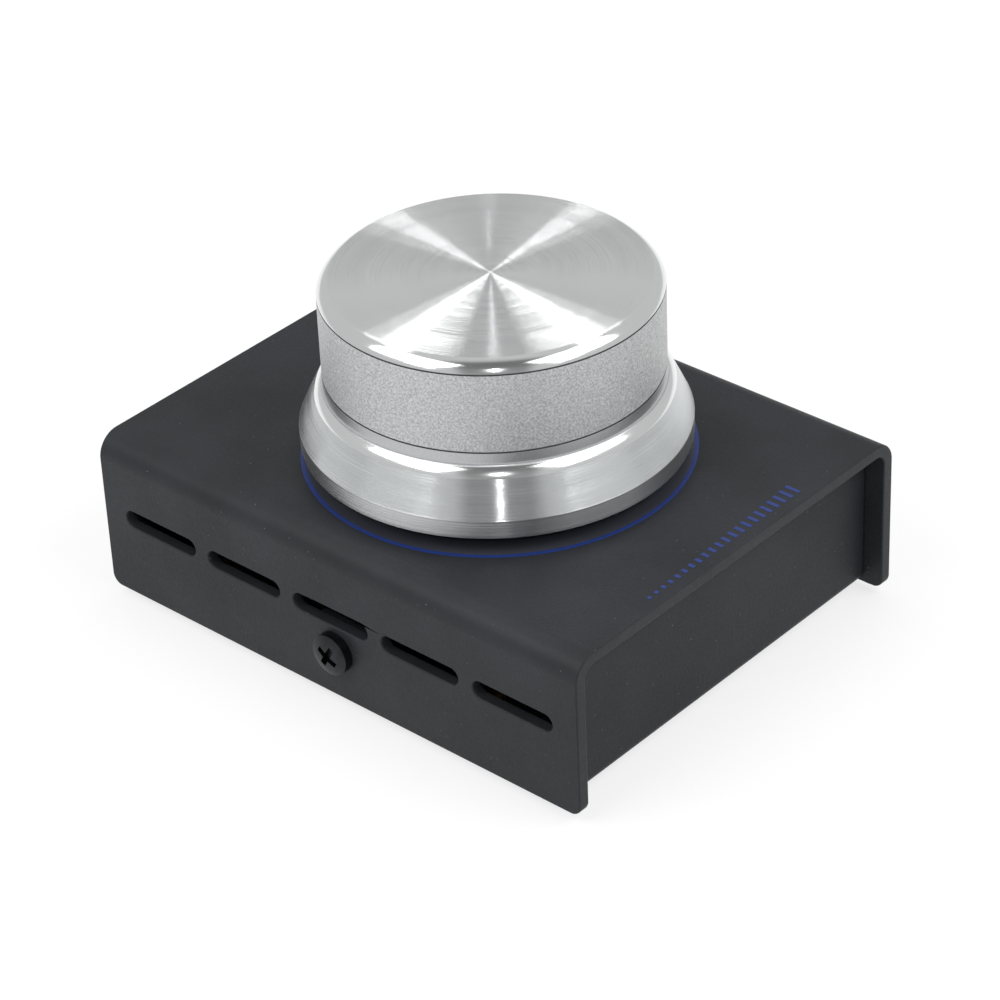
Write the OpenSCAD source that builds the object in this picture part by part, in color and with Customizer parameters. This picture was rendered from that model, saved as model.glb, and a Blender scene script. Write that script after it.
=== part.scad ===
// Desk volume control: a turned aluminium push knob on a folded sheet-metal case.
// Millimetres. The case stands on z = 0, centred on x and y, with its front towards -y.

/* [Cover] */
// Width of the cover over its two flanges
cover_w = 66; // [64:0.5:90]
// Depth of the cover, front to back
cover_d = 85.2; // [83.2:0.2:110]
// Height of the cover, from the flanges' lower edges to the deck
cover_h = 24; // [23.5:0.1:34]
// Thickness of the cover's sheet
sheet_t = 1.8; // [1.5:0.1:2.4]
// Outer radius of the folds along both sides
fold_r = 3.5; // [2.8:0.1:6]
// Rounding of the flanges' lower corners
corner_r = 1.6; // [0.5:0.1:4]

/* [Vent slots] */
// Number of slots in each flange
slot_n = 5; // [1:1:5]
// Length of a slot, end to end
slot_len = 13.4; // [6:0.1:14.5]
// Height of a slot
slot_w = 2.6; // [1.6:0.1:3]
// Distance from slot to slot
slot_pitch = 15.85; // [15.2:0.05:16.4]
// Height of the slots' middle above the flanges' lower edges
slot_z = 12.6; // [12.4:0.1:14]

/* [Chassis] */
// Thickness of the chassis sheet
chassis_t = 1.2; // [1:0.1:1.4]
// Outer radius of the chassis folds
chassis_fold_r = 1.6; // [1.5:0.1:3.5]
// How far the front and rear walls stand back under the cover
wall_inset = 3; // [2.5:0.05:6]
// How far the floor lies above the flanges' lower edges
floor_lift = 0.3; // [0.2:0.1:1]
// Clearance between the chassis and the cover, all round
case_gap = 0.3; // [0.2:0.05:0.5]
// Width of the two tabs that take the cover screws
tab_w = 12; // [9:0.5:16]
// Metal of a tab above its screw's axis
tab_over = 3.4; // [3:0.1:3.6]
// Width of the relief cut on each side of a tab
relief_w = 1.2; // [0.8:0.1:2]

/* [Cover screws] */
// Thread diameter of all the screws
screw_d = 3; // [2.5:0.1:3.2]
// Head diameter of a cover screw
head_d = 6; // [5:0.1:6.6]
// Head height of a cover screw
head_h = 1.9; // [1.4:0.1:2.4]
// Length of a cover screw under its head
screw_len = 6; // [5.5:0.5:9]
// Height of the cover screws above the flanges' lower edges
screw_z = 7.4; // [6.5:0.1:7.5]
// Place of the cover screws along the depth
screw_y = -0.7; // [-6:0.1:6]

/* [Feet] */
// Diameter of a rubber foot at its top
foot_d = 8; // [6:0.5:12]
// Thickness of a rubber foot
foot_t = 1.6; // [1.4:0.1:4]
// Distance from a foot's centre to the chassis's side edges
foot_side = 7.5; // [6.5:0.1:9]
// Distance from a foot's centre to the front or rear wall
foot_end = 12.5; // [11.5:0.1:18]

/* [Knob] */
// Knob axis, sideways from the middle of the case
knob_x = -0.6; // [-3:0.1:3]
// Knob axis, along the depth
knob_y = -1.6; // [-4:0.1:4]
// Diameter of the knob's blasted side
knob_d = 46; // [43:0.1:47]
// Height of the knob, from its rim to its face
knob_h = 24.2; // [23.5:0.1:32]
// Gap between the knob's rim and the deck
rim_gap = 2.2; // [1.2:0.1:4]
// Diameter of the knob's rim
rim_d = 53; // [51.5:0.1:58]
// Height of the upright band of the rim
rim_h = 2.65; // [1:0.05:4]
// Diameter of the turned skirt where it runs into the shoulder
skirt_top_d = 48.4; // [48:0.1:50.5]
// Height from the rim's underside to the top of the turned skirt
skirt_h = 7.65; // [6:0.05:8.2]
// Radius of the shoulder
shoulder_r = 3.4; // [2.4:0.1:3.6]
// Radius of the hollow corner where the shoulder meets the neck
neck_r = 0.6; // [0.2:0.1:0.8]
// Height from the rim's underside to the hairline under the blasted side
line_z = 10.9; // [10.8:0.1:13]
// Radius of the face's edge
edge_r = 1.6; // [0.5:0.1:3]
// Width and depth of the two hairlines round the blasted side
hairline = 0.24; // [0.1:0.02:0.4]
// Wall between the knob's side and its hollow
knob_wall = 3.5; // [2:0.1:6]
// Wall between the rim and the wider mouth of the hollow
skirt_wall = 3.6; // [2.5:0.1:5]
// Depth of that mouth
mouth_depth = 4.5; // [2:0.1:6]
// Metal over the hollow, under the face
knob_top_t = 6; // [4:0.1:7]
// Diameter of the boss that holds the bush
boss_d = 14; // [12.5:0.5:20]
// Outer diameter of the pressed bush
bush_d = 10; // [8.5:0.5:11]

/* [Encoder] */
// Side of the encoder's square body
encoder_w = 12; // [11.6:0.1:14]
// Height from the board to the deck's underside
encoder_h = 6.8; // [6.4:0.1:8]
// Thread diameter of the bushing
bushing_d = 7; // [6.8:0.1:8]
// Height of the bushing above its seat
bushing_h = 7; // [6.2:0.1:7.4]
// Diameter of the shaft
shaft_d = 6; // [5:0.1:6.1]
// Height of the shaft above the bushing's seat
shaft_h = 20; // [16:0.5:20.5]
// Depth of the shaft's flat
flat_depth = 1.5; // [0.5:0.1:2]
// Width of the nut over its flats
nut_af = 10; // [9.5:0.5:12]
// Height of the nut
nut_h = 2; // [1.2:0.1:2.4]
// Diameter of the washer
washer_d = 11.6; // [10.5:0.1:14]
// Thickness of the washer
washer_t = 0.4; // [0.3:0.1:0.6]
// How far the knob can be pushed down
push_travel = 0.5; // [0.2:0.05:0.6]
// Number of detents in a turn
detent_n = 20; // [12:1:24]

/* [Circuit board] */
// Thickness of the board
board_t = 1.6; // [1:0.1:2]
// Width of the board
board_w = 48; // [44:0.5:54]
// Distance from the knob's axis to the board's front edge
board_ahead = 20; // [17:0.5:28]
// Gap between the board and the rear wall
board_gap = 0.8; // [0.4:0.1:2]
// Width of a pillar over its flats
pillar_af = 5; // [4.6:0.1:6]
// Distance from a pillar's axis to the board's edges
pillar_in = 4; // [3.5:0.1:6]
// Head diameter of a board screw
board_head_d = 5.2; // [4.6:0.1:6]

/* [Socket] */
// Width of the socket's shell
socket_w = 7.7; // [7:0.1:9]
// Height of the socket's shell
socket_h = 3.9; // [3.5:0.1:4.6]
// Length of the socket's shell
socket_len = 9.2; // [8:0.1:12]
// Thickness of the shell's metal
shell_t = 0.35; // [0.25:0.05:0.5]
// How far the shell stands out of the rear wall
socket_out = 0.4; // [0:0.1:1.5]

/* [Clearances] */
// Running clearance of the shaft in the bushing, on the radius
run_gap = 0.04; // [0.02:0.01:0.08]
// Clearance of pieces that are pressed or screwed together, on the radius
press_gap = 0.02; // [0.01:0.01:0.05]
// Clearance round moving pieces inside the encoder
free_gap = 0.3; // [0.3:0.05:0.4]
// Clearance of a screw or pin in its hole, on the radius
hole_gap = 0.2; // [0.1:0.05:0.3]

/* [Hidden] */

$fn = 96;
e = 0.01; // overlap that keeps cuts clean

// Heights above the desk
floor_z = foot_t;                           // underside of the chassis floor
cover_z = floor_z - floor_lift;             // lower edges of the cover's flanges
deck_z = cover_z + cover_h;                 // top of the deck
seat_z = deck_z - sheet_t;                  // underside of the deck, where the encoder seats
board_top = seat_z - encoder_h;
board_z = board_top - board_t;

// Chassis
chassis_w = cover_w - 2 * sheet_t - 2 * case_gap;
chassis_d = cover_d - 2 * wall_inset;
chassis_h = seat_z - case_gap - floor_z;
floor_top = floor_z + chassis_t;
wall_r = max(fold_r - sheet_t - case_gap, 0.5); // walls' top corners, inside the cover's folds
rear_face = chassis_d / 2;                  // outer face of the rear wall
tab_h = cover_z + screw_z + tab_over - floor_z;
tab_r = 2.5;                                // rounding of a tab's top
burr_wall = 0.8;                            // drawn collar round a tapped hole
burr_d = screw_d + 2 * burr_wall;
burr_h = 1.2;
window_r = 0.8;                             // corners of the socket's window

foot_taper = 0.8;

// Screw heads
dome_r = 8;                                 // curve of a pan head's top
recess_w = 0.9;                             // one bar of the cross recess
recess_share = 0.56;                        // cross recess, as a share of its head's width
recess_deep = 0.6;                          // and of its head's height
board_head_h = 1.6;
board_screw_len = 5;

// Board
board_rear = rear_face - chassis_t - board_gap;
board_front = knob_y - board_ahead;
board_d = board_rear - board_front;
board_mid = (board_rear + board_front) / 2;
board_r = 1.5;                              // rounding of the board's corners
shank_step = 0.6;
shank_d = pillar_af - 2 * shank_step;       // clinched end of a pillar
pin_w = 0.8;
pin_t = 0.3;
pin_pitch = 2.5;
pin_reach = 1;                              // how far a terminal stands off the encoder
pin_rise = 0.5;                             // height at which it leaves the encoder
pin_below = 1.4;                            // length of a pin under the board

// Encoder, from its seat down
bracket_t = 0.3;
plate_t = 1.6;                              // flange of the bushing
plate_top = seat_z - bracket_t;
plate_z = plate_top - plate_t;
plate_w = encoder_w - 2 * bracket_t;        // clears the bracket's inner bends
mould_r = 0.6;                              // upright corners of the encoder's pieces
collar_t = 0.6;                             // collar that keeps the shaft in
collar_step = 0.7;
collar_d = shaft_d + 2 * collar_step;
collar_gap = 0.05;
pocket_h = 0.9;                             // pocket for the collar in the bushing's flange
pocket_d = collar_d + 2 * free_gap;
collar_top = plate_z + pocket_h - collar_gap;
cavity_wall = 1;
cavity_floor = 1.2;
cavity_d = encoder_w - 2 * cavity_wall;
cavity_z = board_top + cavity_floor;
rotor_d = cavity_d - 2 * free_gap;
rotor_t = 1.3;
rotor_lift = 0.1;                           // rotor above the cavity's floor
rotor_rim = 0.5;
notch_deep = 0.35;
notch_len = 1;
spring_t = 0.2;
spring_fit = 0.05;                          // spring clear of the cavity and the pocket
spring_bump_r = 0.35;
spring_bump_share = 0.8;                    // length of a bump over the ring's width
rotor_top = plate_z - spring_t - spring_bump_r - free_gap;
drive_step = 0.4;
drive_d = shaft_d - 2 * drive_step;         // end of the shaft, with two flats
drive_flat = 0.36 * shaft_d;                // axis to one flat
drive_gap = 0.06;
hub_wall = 1;
hub_d = drive_d + 2 * hub_wall;
hub_drop = 0.3;
switch_h = 0.7;                             // rise of the snap dome
switch_d = rotor_d - 2 * rotor_rim - 2 * free_gap;
switch_t = 0.15;
shaft_z = cavity_z + switch_h + push_travel + collar_gap; // lower end of the shaft
shaft_top = seat_z + shaft_h;
bushing_top = seat_z + bushing_h;
lug_w = 2;                                  // bracket lugs in the board
lug_below = 1.2;
strap_w = 8;                                // width of the bracket's strap

// Knob
rim_z = deck_z + rim_gap;
knob_top = rim_z + knob_h;
rim_top = rim_z + rim_h;
skirt_z = rim_z + skirt_h;
skirt_run = [skirt_top_d / 2 - rim_d / 2, skirt_z - rim_top];
skirt_normal = [skirt_run[1], -skirt_run[0]] / norm(skirt_run);
shoulder_c = [skirt_top_d / 2, skirt_z] - shoulder_r * skirt_normal;
neck_run = knob_d / 2 + neck_r - shoulder_c[0];
neck_c = shoulder_c + [neck_run, sqrt(pow(shoulder_r + neck_r, 2) - pow(neck_run, 2))];
neck_end = shoulder_c + (neck_c - shoulder_c) * shoulder_r / (shoulder_r + neck_r);
upper_line = knob_top - edge_r - hairline / 2;
lower_line = rim_z + line_z;
hollow_top = knob_top - knob_top_t;
boss_gap = 0.4;                             // boss clear of the bushing when pushed
boss_z = bushing_top + push_travel + boss_gap;
bush_over = 0.2;                            // bush above the shaft's end
bush_top = shaft_top + bush_over;

// Socket
socket_face = rear_face + socket_out;
socket_back = socket_face - socket_len;
tongue_w = 3.4;
tongue_h = 0.9;
tongue_in = 1.4;                            // tongue's end behind the shell's mouth
tongue_z = board_top + (socket_h - tongue_h) / 2;
block_len = 3;                              // block that carries the tongue
block_fit = 0.05;
key_z = 1.6;                                // where the shell starts to narrow
key_step = 0.5;
leg_w = 1;
leg_pitch = 4;
leg_below = 0.6;
contact_n = 5;
contact_pitch = 0.65;
contact_w = 0.4;
contact_t = 0.15;
contact_short = 0.5;                        // contacts end behind the tongue's end
block_front = socket_back + shell_t + block_fit + block_len;
tongue_len = socket_face - tongue_in - block_front;

// Small parts on the board
chip_size = [10, 3.9, 1.5];
chip_in = 19;                               // from the board's rear edge to the chip's middle
chip_y = board_rear - chip_in;
lead_n = 8;
lead_pitch = 1.27;
lead_w = 0.4;
lead_t = 0.2;
lead_reach = 1.1;
crystal_size = [11, 4.6, 3.5];
crystal_lip = 0.4;
crystal_ahead = 8;                          // from the chip to the crystal
can_d = 5;
can_h = 5.4;
can_pitch = 7;                              // from the chip to the first can, and on to the next
capacitor_size = [1.6, 0.8, 0.8];
capacitor_pitch = 3.2;
capacitor_row = 4.6;                        // from the chip to the row behind it and the one ahead
resistor_size = [1.6, 0.8, 0.45];
resistor_pitch = 2.8;
resistor_in = 6;                            // from the board's rear edge to the resistors

// ---------- shared shapes ----------

// A sheet-metal outline standing on y = 0, with its two top corners folded to radius r
module arch(w, h, r) {
    translate([-w / 2, 0])
        square([w, h - r]);
    translate([-w / 2 + r, 0])
        square([w - 2 * r, h]);
    for (s = [-1, 1])
        translate([s * (w / 2 - r), h - r])
            circle(r);
}

// The section of a sheet of thickness t, folded down along both sides
module folded(w, h, t, r) {
    difference() {
        arch(w, h, r);
        translate([0, -1])
            arch(w - 2 * t, h - t + 1, r - t);
    }
}

module rounded_rect(w, d, r) {
    square([w, d - 2 * r], center = true);
    square([w - 2 * r, d], center = true);
    for (x = [-1, 1], y = [-1, 1])
        translate([x * (w / 2 - r), y * (d / 2 - r)])
            circle(r);
}

// A slot outline with round ends, along x
module stadium(len, w) {
    square([len - w, w], center = true);
    for (s = [-1, 1])
        translate([s * (len - w) / 2, 0])
            circle(w / 2);
}

// Extrudes an outline drawn in y and z along x, and one drawn in x and z along y
module along_x(len) rotate([90, 0, 90]) linear_extrude(len, center = true) children();
module along_y(len) rotate([90, 0, 0]) linear_extrude(len, center = true) children();

module at_axis() translate([knob_x, knob_y, 0]) children();

module at_pillars()
    for (x = [-1, 1], y = [board_front + pillar_in, board_rear - pillar_in])
        translate([x * (board_w / 2 - pillar_in), y, 0])
            children();

// Puts its children on each side of the case, at the cover screws, with +x outwards
module at_cover_screws()
    for (s = [0, 1])
        mirror([s, 0, 0])
            translate([cover_w / 2, screw_y, cover_z + screw_z])
                children();

// A pan-head screw with a cross recess, its seat on z = 0 and its shank downwards
module pan_screw(d, len, hd, hh) {
    cross = recess_share * hd;
    difference() {
        rotate_extrude()
            intersection() {
                square([hd / 2, hh]);
                translate([0, hh - dome_r])
                    circle(dome_r);
            }
        for (a = [0, 90])
            rotate(a)
                translate([-cross / 2, -recess_w / 2, hh * (1 - recess_deep)])
                    cube([cross, recess_w, hh]);
    }
    translate([0, 0, -len])
        cylinder(d = d - 2 * press_gap, h = len + e);
}

// ---------- case ----------

// Outline of a flange seen from the side: only its lower corners are rounded
module flange_outline()
    translate([0, cover_h])
        mirror([0, 1])
            arch(cover_d, cover_h, corner_r);

module cover() color("#26272a") {
    translate([0, 0, cover_z])
        difference() {
            intersection() {
                along_y(cover_d)
                    folded(cover_w, cover_h, sheet_t, fold_r);
                along_x(cover_w)
                    flange_outline();
            }
            for (i = [0 : slot_n - 1])
                translate([0, (i - (slot_n - 1) / 2) * slot_pitch, slot_z])
                    along_x(cover_w + 2)
                        stadium(slot_len, slot_w);
            translate([0, screw_y, screw_z])
                along_x(cover_w + 2)
                    circle(screw_d / 2 + hole_gap);
            at_axis()
                cylinder(d = bushing_d + 2 * hole_gap, h = cover_h + 1);
        }
}

// One tab, folded up from the floor's right edge and drawn inwards round its tapped hole
module chassis_tabs() {
    translate([0, screw_y, floor_z])
        intersection() {
            along_y(tab_w)
                translate([0, tab_h])
                    mirror([0, 1])
                        folded(chassis_w, tab_h, chassis_t, chassis_fold_r);
            along_x(chassis_w)
                arch(tab_w, tab_h, tab_r);
        }
    at_cover_screws()
        translate([-(cover_w - chassis_w) / 2 - chassis_t - burr_h, 0, 0])
            rotate([0, 90, 0])
                cylinder(d = burr_d, h = burr_h + chassis_t / 2);
}

module chassis() color("#222326") {
    difference() {
        union() {
            difference() {
                translate([0, 0, floor_z])
                    intersection() {
                        along_x(chassis_w)
                            translate([0, chassis_h])
                                mirror([0, 1])
                                    folded(chassis_d, chassis_h, chassis_t, chassis_fold_r);
                        along_y(cover_d)
                            arch(chassis_w, chassis_h, wall_r);
                    }
                for (s = [-1, 1])
                    translate([s * chassis_w / 2, screw_y, floor_z])
                        cube([2 * chassis_fold_r, tab_w + 2 * relief_w, 2 * chassis_t + 1], center = true);
            }
            chassis_tabs();
        }
        at_cover_screws()
            translate([-cover_w / 4, 0, 0])
                rotate([0, 90, 0])
                    cylinder(d = screw_d, h = cover_w / 4);
        at_pillars()
            cylinder(d = shank_d + 2 * press_gap, h = floor_top + 1);
        translate([0, rear_face, board_top + socket_h / 2])
            along_y(4 * chassis_t)
                rounded_rect(socket_w + 4 * hole_gap, socket_h + 4 * hole_gap, window_r);
    }
}

module cover_screws() color("#1d1e20") {
    at_cover_screws()
        rotate([0, 90, 0])
            rotate(30)
                pan_screw(screw_d, screw_len, head_d, head_h);
}

module rubber_feet() color("#2b2b2b") {
    for (x = [-1, 1], y = [-1, 1])
        translate([x * (chassis_w / 2 - foot_side), y * (chassis_d / 2 - foot_end), 0])
            cylinder(d1 = foot_d - foot_taper, d2 = foot_d, h = foot_t);
}

// ---------- circuit board ----------

module board_pillars() color("#c9a94a") {
    at_pillars()
        difference() {
            union() {
                translate([0, 0, floor_top])
                    cylinder(d = pillar_af / cos(30), h = board_z - floor_top, $fn = 6);
                translate([0, 0, floor_z])
                    cylinder(d = shank_d, h = chassis_t + e);
            }
            translate([0, 0, board_z - board_screw_len])
                cylinder(d = screw_d, h = board_screw_len + 1);
        }
}

module board_screws() color("#c8cacc") {
    at_pillars()
        translate([0, 0, board_top])
            rotate(45)
                pan_screw(screw_d, board_screw_len, board_head_d, board_head_h);
}

// Three terminals on the front side of the encoder, two on the rear
module at_terminals()
    at_axis() {
        for (x = [-1, 0, 1])
            mirror([0, 1, 0])
                translate([x * pin_pitch, encoder_w / 2, 0])
                    children();
        for (x = [-1, 1])
            translate([x * pin_pitch, encoder_w / 2, 0])
                children();
    }

module at_lugs()
    at_axis()
        for (s = [-1, 1])
            translate([s * (encoder_w + bracket_t) / 2, 0, 0])
                children();

module at_shell_legs()
    for (s = [-1, 1], i = [0, 1])
        translate([s * (socket_w - shell_t) / 2, socket_back + leg_w + i * leg_pitch, 0])
            children();

module circuit_board() color("#1f5c3a") {
    difference() {
        translate([0, board_mid, board_z])
            linear_extrude(board_t)
                rounded_rect(board_w, board_d, board_r);
        at_pillars()
            cylinder(d = screw_d + 2 * hole_gap, h = board_top + 1);
        at_terminals()
            translate([0, pin_reach - pin_t / 2, 0])
                cylinder(d = pin_w + 2 * hole_gap, h = board_top + 1);
        at_lugs()
            translate([0, 0, board_z - 1])
                linear_extrude(board_t + 2)
                    rotate(90)
                        stadium(lug_w + 4 * hole_gap, bracket_t + 3 * hole_gap);
        at_shell_legs()
            cylinder(d = leg_w + 2 * hole_gap, h = board_top + 1);
    }
}

module controller_chip() color("#202224") {
    dimple_r = 0.6;
    dimple_deep = 0.3;
    translate([0, chip_y, board_top + lead_t])
        difference() {
            translate([-chip_size[0] / 2, -chip_size[1] / 2, 0])
                cube(chip_size);
            translate([-chip_size[0] / 2, 0, chip_size[2] - dimple_deep])
                cylinder(r = dimple_r, h = 1);
        }
}

module chip_leads() color("#c4c6c8") {
    bend_z = chip_size[2] / 2 + lead_t / 2;
    for (i = [0 : lead_n - 1], s = [0, 1])
        translate([(i - (lead_n - 1) / 2) * lead_pitch, chip_y, board_top])
            mirror([0, s, 0])
                translate([0, chip_size[1] / 2, 0])
                    along_x(lead_w)
                        polygon([[0, bend_z], [lead_reach / 2, bend_z], [lead_reach / 2, lead_t],
                            [lead_reach, lead_t], [lead_reach, 0], [lead_reach / 2 - lead_t, 0],
                            [lead_reach / 2 - lead_t, bend_z - lead_t], [0, bend_z - lead_t]]);
}

module crystal_can() color("#c6c9cb") {
    base_t = 0.5;
    translate([-board_w / 4, chip_y - crystal_ahead, board_top]) {
        linear_extrude(base_t)
            stadium(crystal_size[0], crystal_size[1]);
        translate([0, 0, base_t - e])
            linear_extrude(crystal_size[2] - base_t)
                stadium(crystal_size[0] - 2 * crystal_lip, crystal_size[1] - 2 * crystal_lip);
    }
}

module can_capacitors() color("#b7bbbf") {
    base_w = can_d + 0.3;
    base_t = 0.8;
    base_r = 0.8;
    for (i = [1, 2])
        translate([board_w / 4, chip_y - i * can_pitch, board_top]) {
            linear_extrude(base_t)
                rounded_rect(base_w, base_w, base_r);
            translate([0, 0, base_t - e])
                cylinder(d = can_d, h = can_h - base_t);
        }
}

// A row of surface-mount parts along x
module chip_row(n, pitch, size)
    for (i = [0 : n - 1])
        translate([(i - (n - 1) / 2) * pitch - size[0] / 2, -size[1] / 2, 0])
            cube(size);

module chip_capacitors() color("#a8865c") {
    translate([0, chip_y + capacitor_row, board_top])
        chip_row(5, capacitor_pitch, capacitor_size);
    translate([0, chip_y - capacitor_row, board_top])
        chip_row(3, capacitor_pitch, capacitor_size);
}

module chip_resistors() color("#2a2a2c") {
    for (s = [-1, 1])
        translate([s * board_w / 4, board_rear - resistor_in, board_top])
            chip_row(3, resistor_pitch, resistor_size);
}

// ---------- socket ----------

// Section of the socket: a flat box with its two lower corners drawn in
module socket_outline(t) {
    w = socket_w / 2 - t;
    foot = w - key_step;
    polygon([[-w, socket_h - t], [w, socket_h - t], [w, key_z], [foot, key_z - key_step],
        [foot, t], [-foot, t], [-foot, key_z - key_step], [-w, key_z]]);
}

module usb_socket_shell() color("#c9cccf") {
    translate([0, (socket_face + socket_back) / 2, board_top])
        difference() {
            along_y(socket_len)
                socket_outline(0);
            translate([0, shell_t, 0])
                along_y(socket_len)
                    socket_outline(shell_t);
        }
    at_shell_legs()
        translate([-shell_t / 2, -leg_w / 2, board_z - leg_below])
            cube([shell_t, leg_w, leg_below + board_t + key_z + shell_t]);
}

module usb_socket_tongue() color("#18191a") {
    translate([0, block_front - block_len / 2, board_top])
        along_y(block_len)
            socket_outline(shell_t + block_fit);
    translate([-tongue_w / 2, block_front - e, tongue_z])
        cube([tongue_w, tongue_len + e, tongue_h]);
}

module usb_socket_contacts() color("#d8b24a") {
    for (i = [0 : contact_n - 1])
        translate([(i - (contact_n - 1) / 2) * contact_pitch, block_front, tongue_z])
            translate([-contact_w / 2, 0, -contact_t])
                cube([contact_w, tongue_len - contact_short, contact_t]);
}

// ---------- encoder ----------

module encoder_housing() color("#2f3a34") {
    at_axis()
        difference() {
            translate([0, 0, board_top])
                linear_extrude(plate_z - board_top)
                    rounded_rect(encoder_w, encoder_w, mould_r);
            translate([0, 0, cavity_z])
                cylinder(d = cavity_d, h = encoder_h);
        }
}

module encoder_bracket() color("#bfc2c4") {
    at_axis()
        difference() {
            union() {
                translate([0, 0, board_top])
                    along_y(strap_w)
                        folded(encoder_w + 2 * bracket_t, encoder_h, bracket_t, 2 * bracket_t);
                for (s = [-1, 1])
                    translate([s * (encoder_w + bracket_t) / 2 - bracket_t / 2,
                               -lug_w / 2,
                               board_z - lug_below])
                        cube([bracket_t, lug_w, board_t + lug_below + 1]);
            }
            translate([0, 0, plate_top - 1])
                cylinder(d = bushing_d + hole_gap, h = 3);
        }
}

module encoder_bushing() color("#aeb1b4") {
    at_axis()
        difference() {
            union() {
                translate([0, 0, plate_z])
                    linear_extrude(plate_t)
                        rounded_rect(plate_w, plate_w, mould_r);
                translate([0, 0, plate_z])
                    cylinder(d = bushing_d, h = bushing_top - plate_z);
            }
            cylinder(d = shaft_d + 2 * run_gap, h = bushing_top + 1);
            translate([0, 0, plate_z - 1])
                cylinder(d = pocket_d, h = pocket_h + 1);
        }
}

module encoder_terminals() color("#c9cccf") {
    at_terminals()
        translate([-pin_w / 2, 0, 0]) {
            translate([0, 0, board_top + pin_rise])
                cube([pin_w, pin_reach, pin_t]);
            translate([0, pin_reach - pin_t, board_z - pin_below])
                cube([pin_w, pin_t, pin_below + board_t + pin_rise + pin_t]);
        }
}

module encoder_washer() color("#c5c7c9") {
    at_axis()
        translate([0, 0, deck_z])
            difference() {
                cylinder(d = washer_d, h = washer_t);
                translate([0, 0, -1])
                    cylinder(d = bushing_d + hole_gap, h = 3);
            }
}

module encoder_nut() color("#b9bcbf") {
    at_axis()
        translate([0, 0, deck_z + washer_t])
            difference() {
                cylinder(d = nut_af / cos(30), h = nut_h, $fn = 6);
                translate([0, 0, -1])
                    cylinder(d = bushing_d + 2 * press_gap, h = nut_h + 2);
            }
}

// Flat ring under the bushing's flange, with two bumps over the rotor's teeth
module detent_spring() color("#d0b070") {
    ring_w = (cavity_d - pocket_d) / 2 - 2 * spring_fit;
    mid_r = cavity_d / 2 - ring_w / 2 - spring_fit;
    at_axis() {
        translate([0, 0, plate_z - spring_t])
            difference() {
                cylinder(r = mid_r + ring_w / 2, h = spring_t);
                translate([0, 0, -1])
                    cylinder(r = mid_r - ring_w / 2, h = 3);
            }
        for (s = [-1, 1])
            translate([0, s * mid_r, plate_z - spring_t])
                intersection() {
                    along_y(spring_bump_share * ring_w)
                        circle(spring_bump_r);
                    translate([-1, -1, -1])
                        cube([2, 2, 1 + e]);
                }
    }
}

// Snap dome on the floor of the housing, under the shaft
module switch_dome() color("#d9c98c") {
    sphere_r = (pow(switch_d / 2, 2) + pow(switch_h, 2)) / (2 * switch_h);
    at_axis()
        translate([0, 0, cavity_z])
            rotate_extrude()
                intersection() {
                    translate([0, switch_h - sphere_r])
                        difference() {
                            circle(sphere_r);
                            circle(sphere_r - switch_t);
                        }
                    square([switch_d / 2, switch_h]);
                }
}

// Section of the shaft's driving end: round, with two flats
module drive_outline(gap)
    intersection() {
        circle(d = drive_d + 2 * gap);
        square([drive_d * 2, 2 * drive_flat + 2 * gap], center = true);
    }

// Right half of the rotor's section: a disc with a rim and a hub under it
module rotor_outline() {
    outer = rotor_d / 2;
    inner = outer - rotor_rim;
    under = rotor_top - rotor_t;
    low = cavity_z + rotor_lift;
    polygon([[0, under - hub_drop], [hub_d / 2, under - hub_drop], [hub_d / 2, under], [inner, under],
        [inner, low], [outer, low], [outer, rotor_top], [0, rotor_top]]);
}

// Turned disc with a ring of V notches for the detent spring, driven by the shaft's flats
module encoder_rotor() color("#e6e2d4") {
    at_axis()
        difference() {
            rotate_extrude()
                rotor_outline();
            translate([0, 0, cavity_z])
                linear_extrude(encoder_h)
                    drive_outline(drive_gap);
            for (i = [0 : detent_n - 1])
                rotate((i + 0.5) * 360 / detent_n)
                    translate([0, rotor_d / 2, rotor_top])
                        along_y(2 * notch_len)
                            polygon([[0, -notch_deep], [2 * notch_deep, notch_deep],
                                [-2 * notch_deep, notch_deep]]);
        }
}

module encoder_shaft() color("#b4b7ba") {
    tip = 0.5;
    at_axis()
        difference() {
            union() {
                translate([0, 0, shaft_z])
                    linear_extrude(collar_top - shaft_z)
                        drive_outline(0);
                translate([0, 0, collar_top - collar_t])
                    cylinder(d = collar_d, h = collar_t);
                translate([0, 0, collar_top - e])
                    cylinder(d = shaft_d, h = shaft_top - tip - collar_top + e);
                translate([0, 0, shaft_top - tip - e])
                    cylinder(d1 = shaft_d, d2 = shaft_d - 2 * tip, h = tip + e);
            }
            translate([-shaft_d, shaft_d / 2 - flat_depth, boss_z])
                cube([2 * shaft_d, shaft_d, shaft_h]);
        }
}

// ---------- knob ----------

module knob_bush() color("#303234") {
    at_axis()
        translate([0, 0, boss_z])
            difference() {
                cylinder(d = bush_d - 2 * press_gap, h = bush_top - boss_z);
                translate([0, 0, -1])
                    linear_extrude(bush_top - boss_z + 2)
                        intersection() {
                            circle(d = shaft_d + 2 * press_gap);
                            translate([-shaft_d, -shaft_d])
                                square([2 * shaft_d, 1.5 * shaft_d - flat_depth + press_gap]);
                        }
            }
}

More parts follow.
